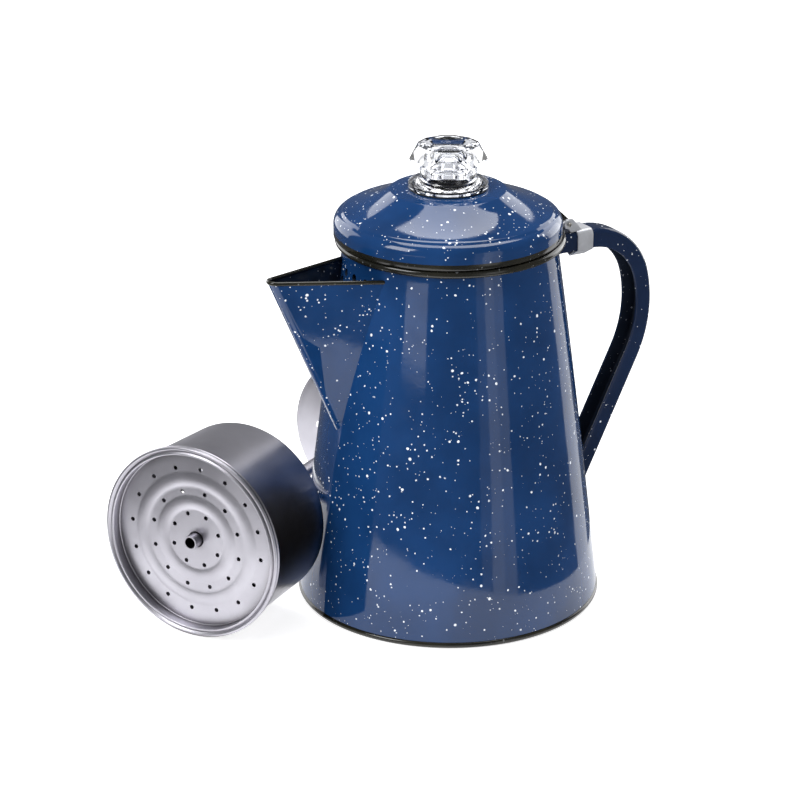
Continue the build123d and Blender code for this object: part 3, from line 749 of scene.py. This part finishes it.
def fine_near(path, rings, reach, step):
    """The path with close points wherever it crosses a ring of holes."""
    line = [path[0]]
    for a, b in zip(path, path[1:]):
        marks = [0.0, 1.0]
        if abs(b[0] - a[0]) > 1e-6:
            for ring_radius, _, _ in rings:
                for s in np.arange(ring_radius - reach, ring_radius + reach + 1e-6, step):
                    share = (s - a[0]) / (b[0] - a[0])
                    if 0.01 < share < 0.99:
                        marks.append(float(share))
        for share in sorted(marks)[1:]:
            line.append((a[0] + (b[0] - a[0]) * share, a[1] + (b[1] - a[1]) * share))
    return line


# each ring of holes: its radius, how many, and degrees to the first
SPREADER_RINGS = ((32.0, 16, -4.5), (21.5, 12, -12), (11.7, 8, -25))
BASKET_RINGS = ((33.0, 30, 0), (26.0, 24, 0), (19.0, 18, 0), (12.0, 10, 0))
FOOT_RINGS = ((24.0, 4, 0),)
HOLE_RADIUS = 0.95
SPREADER_RECESS = 4.8
RIDGE_RADII = (16.5, 26.8)
RIDGE_HALF = 3.0
RIDGE_RISE = 0.35
BASKET_FLOOR_Z = 106.0


def spreader_lid():
    plate = SET_HEIGHT - SPREADER_RECESS
    flats = [(3.6, plate)]
    for middle in RIDGE_RADII:
        flats += through((middle - RIDGE_HALF, plate), (middle, plate + RIDGE_RISE),
                         (middle + RIDGE_HALF, plate), 16)
    flats += rounded([flats[-1] + (0,), (38.8, plate, 0.5), (38.8, SET_HEIGHT - 0.7, 0)], 4)[1:]
    path = fine_near(flats, SPREADER_RINGS, 1.35, 0.25)
    path += arc((39.4, SET_HEIGHT - 0.7), 0.6, 170, 50, 20) + [(40.35, SET_HEIGHT - 0.75)]
    path += arc((41.65, SET_HEIGHT - 0.85), 0.85, 150, -150, 15)
    piece = sheet_lathe("spreader_plate", path, -0.5, [ALUMINIUM], segments=720, place=SET_PLACE,
                        holes=ring_holes(SPREADER_RINGS, HOLE_RADIUS, plate))
    return stand_for(piece, "spreader_lid", "spreader")


def basket():
    floor_z = BASKET_FLOOR_Z + ALU
    inside = rounded([(4.0, floor_z + 5.2, 0), (4.0, floor_z, 0.6), (38.4, floor_z, 1.7), (40.0, 148.2, 0)], 10)
    path = fine_near(inside, BASKET_RINGS, 1.25, 0.3)
    path += arc((41.15, 148.9), 1.0, 150, -150, 15)
    piece = sheet_lathe("basket_shell", path, -ALU, [ALUMINIUM], segments=720, place=SET_PLACE,
                        holes=ring_holes(BASKET_RINGS, HOLE_RADIUS, floor_z))
    return stand_for(piece, "basket", "basket")


def stem_foot():
    flare = [(3.9, 13.0), (3.9, 10.5)] + through((4.0, 10.2), (5.9, 8.0), (9.0, 6.6), 6)
    flare += through((9.0, 6.6), (22.0, 3.9), (36.2, 1.85), 10)[1:]
    path = flare + arc((36.55, 0.92), 0.9, 100, -150, 15)
    holes = ring_holes(FOOT_RINGS, 2.0, 4.0)
    path = fine_near(path, FOOT_RINGS, 2.6, 0.4)
    piece = sheet_lathe("foot_disc", path, -0.6, [ALUMINIUM], segments=480, place=SET_PLACE, holes=holes)
    return stand_for(piece, "stem_foot", "stem")


spreader_lid()
basket()
stem_foot()


# ---------------------------------------------------------------- CAD nodes that stay, with their finishes
def finish_node(node, material, bevel):
    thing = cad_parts[node]
    thing.data.materials.clear()
    thing.data.materials.append(material)
    soften(thing, bevel)


finish_node("glass_knob", GLASS, 0.35)
finish_node("lid_collar", BLACK, 0.2)
finish_node("lid_hinge_tab", BLACK, 0.2)
finish_node("hinge_bracket", PLATED, 0.15)
finish_node("hinge_pin", WIRE, 0.1)
finish_node("knob_gasket", RUBBER, 0.15)
finish_node("stem_stop", ALUMINIUM, 0.2)
finish_node("stem_tube", ALUMINIUM, 0.1)


# ---------------------------------------------------------------- floor, light, camera
def around(bearing, distance, height):
    """A place round the pot: bearing 0 is the camera's side, positive to the camera's right."""
    angle = math.radians(-90 - CAMERA_HEADING + bearing)
    return Vector((distance * math.cos(angle), distance * math.sin(angle), height))


def disc(name, inner, outer, centre, segments=96):
    rings = [r for r in (inner, outer) if r > 0]
    points = [(r * math.cos(2 * math.pi * i / segments) / MM, r * math.sin(2 * math.pi * i / segments) / MM, 0)
              for r in rings for i in range(segments)]
    if inner > 0:
        faces = [(i, (i + 1) % segments, segments + (i + 1) % segments, segments + i) for i in range(segments)]
    else:
        faces = [tuple(range(segments))]
    piece = make_object(name, points, faces, [PAPER])
    piece.location = centre
    return piece


NEAR_FLOOR = 0.175
NEAR_CENTRE = around(-60, 0.072, -0.0002)
disc("floor_near", 0.0, NEAR_FLOOR, NEAR_CENTRE)
far_floor = disc("floor_far", NEAR_FLOOR, 6.0, NEAR_CENTRE)
far_floor.visible_glossy = False


def backdrop(radius, height, glow, segments=48):
    """A bright wall and ceiling round the set, seen only through the glass."""
    paper = bpy.data.materials.new("backdrop_glow")
    paper.use_nodes = True
    shade = paper.node_tree.nodes["Principled BSDF"]
    shade.inputs["Emission Color"].default_value = (0.95, 0.96, 1.0, 1)
    shade.inputs["Emission Strength"].default_value = glow
    rim = [(radius * math.cos(2 * math.pi * i / segments), radius * math.sin(2 * math.pi * i / segments))
           for i in range(segments)]
    points = [(x / MM, y / MM, z / MM) for z in (0.0, height) for x, y in rim]
    faces = [(i, (i + 1) % segments, segments + (i + 1) % segments, segments + i) for i in range(segments)]
    faces.append(tuple(segments + i for i in range(segments)))
    piece = make_object("backdrop", points, faces, [paper])
    piece.visible_camera = False
    piece.visible_diffuse = False
    piece.visible_glossy = False
    piece.visible_shadow = False
    return piece


backdrop(3.0, 2.5, 0.5)


def dark_card(name, middle, facing, width, height):
    """A black card of the studio, seen only in reflections."""
    card = bpy.data.materials.new(name)
    card.use_nodes = True
    shade = card.node_tree.nodes["Principled BSDF"]
    shade.inputs["Base Color"].default_value = (0.002, 0.002, 0.002, 1)
    shade.inputs["Roughness"].default_value = 0.9
    across = Vector((-facing.y, facing.x, 0)).normalized() * width / 2
    corners = [middle - across, middle + across]
    points = [(c.x / MM, c.y / MM, z / MM) for z in (0.001, height) for c in corners]
    piece = make_object(name, points, [(0, 1, 3, 2)], [card])
    piece.visible_camera = False
    piece.visible_diffuse = False
    piece.visible_shadow = False
    piece.visible_transmission = False
    return piece


def soft_light(name, place, target, width, height, power, mirrored=True):
    data = bpy.data.lights.new(name, "AREA")
    data.shape = "RECTANGLE"
    data.size = width
    data.size_y = height
    data.energy = power
    lamp = bpy.data.objects.new(name, data)
    bpy.context.scene.collection.objects.link(lamp)
    lamp.location = place
    lamp.rotation_euler = (Vector(target) - Vector(place)).to_track_quat("-Z", "Y").to_euler()
    lamp.visible_glossy = mirrored
    return lamp


POT_MIDDLE = (0, 0, 0.09)
# tall strips centred on the floor's level reach below it, and the far floor is left out of reflections
HORIZON = 0.0
soft_light("overhead", around(170, 0.45, 1.5), POT_MIDDLE, 1.1, 0.9, 16)
soft_light("front_left", around(-55, 1.3, 1.1), POT_MIDDLE, 0.7, 0.7, 12)
soft_light("fill_left", around(-50, 1.4, 0.8), POT_MIDDLE, 1.0, 1.0, 7, mirrored=False)
soft_light("fill_top", around(-20, 0.3, 1.4), POT_MIDDLE, 0.9, 0.9, 7, mirrored=False)
soft_light("left_patch", around(-34, 1.5, HORIZON), POT_MIDDLE, 0.6, 0.12, 0.35)
soft_light("right_band", around(43, 1.5, HORIZON), POT_MIDDLE, 0.5, 1.6, 2.0)
soft_light("right_fade", around(34, 1.6, HORIZON), POT_MIDDLE, 0.5, 1.6, 0.8)
soft_light("back_right", around(135, 1.5, 0.5), POT_MIDDLE, 1.2, 1.2, 12)
soft_light("back_left", around(-135, 1.5, 0.5), POT_MIDDLE, 1.2, 1.2, 12)

soft_light("right_edge", around(132, 1.6, HORIZON), POT_MIDDLE, 0.7, 1.6, 4.5)

# stands close beside the basket, so its flank mirrors no bright enamel
CARD_GAP = 41.6 * MM
CARD_BACK = 26.0 * MM
card_middle = rim_centre * MM - aside * CARD_GAP + heading * CARD_BACK
dark_card("dark_card", card_middle, -aside, width=0.044, height=0.125)

world = bpy.data.worlds.new("studio")
bpy.context.scene.world = world
world.use_nodes = True
world.node_tree.nodes["Background"].inputs["Color"].default_value = (0.93, 0.95, 1.0, 1)
world.node_tree.nodes["Background"].inputs["Strength"].default_value = 0.15

camera_data = bpy.data.cameras.new("camera")
camera_data.sensor_width = 36.0
camera_data.lens = CAMERA_LENS
camera_data.clip_start = 0.05
camera = bpy.data.objects.new("camera", camera_data)
bpy.context.scene.collection.objects.link(camera)
pitch = math.radians(CAMERA_PITCH)
look = Vector((math.sin(math.radians(CAMERA_HEADING)) * math.cos(pitch),
               math.cos(math.radians(CAMERA_HEADING)) * math.cos(pitch), -math.sin(pitch)))
camera.location = CAMERA_TARGET - look * CAMERA_DISTANCE
camera.rotation_euler = look.to_track_quat("-Z", "Y").to_euler()
bpy.context.scene.camera = camera
bpy.context.scene.view_settings.view_transform = "Standard"
